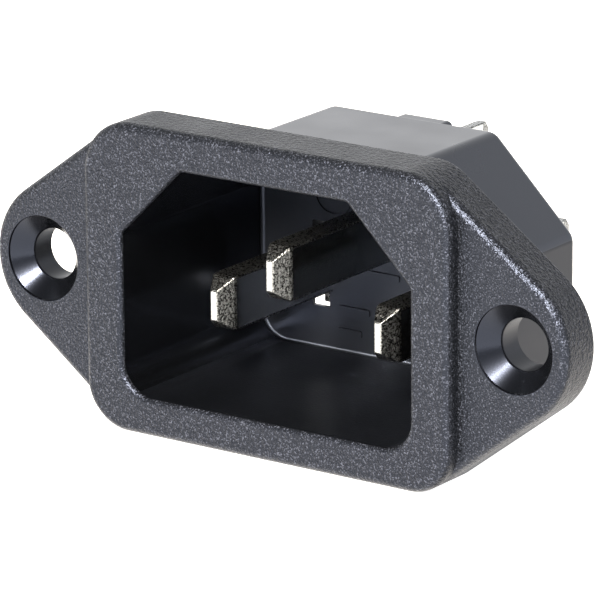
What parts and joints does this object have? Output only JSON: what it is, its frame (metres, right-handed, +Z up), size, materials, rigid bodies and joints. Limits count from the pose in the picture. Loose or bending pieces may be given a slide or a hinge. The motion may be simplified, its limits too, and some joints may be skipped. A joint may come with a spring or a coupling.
{
  "type": "c14 panel inlet socket",
  "caption": "Screw-on appliance inlet: moulded socket with a rhombic two-hole flange, flat pins in the recess and quick-connect tabs behind.",
  "frame": {"origin": "midway between the two screw holes, on the flange's back face, which seats on the panel", "axes": "-Y out of the socket's mouth, +Y into the equipment, +X right as the mouth is seen, +Z up, to the earth pin's side"},
  "size_m": [0.0486, 0.028, 0.0226],
  "materials": {
    "moulded_nylon": "spark-eroded grain on the flange and collar, satin behind the panel",
    "nickel_plate": "satin nickel plate on brass"
  },
  "bodies": {
    "root": {"housing": "moulded_nylon", "line_contact": "nickel_plate", "neutral_contact": "nickel_plate", "earth_contact": "nickel_plate"}
  },
  "joints": []
}
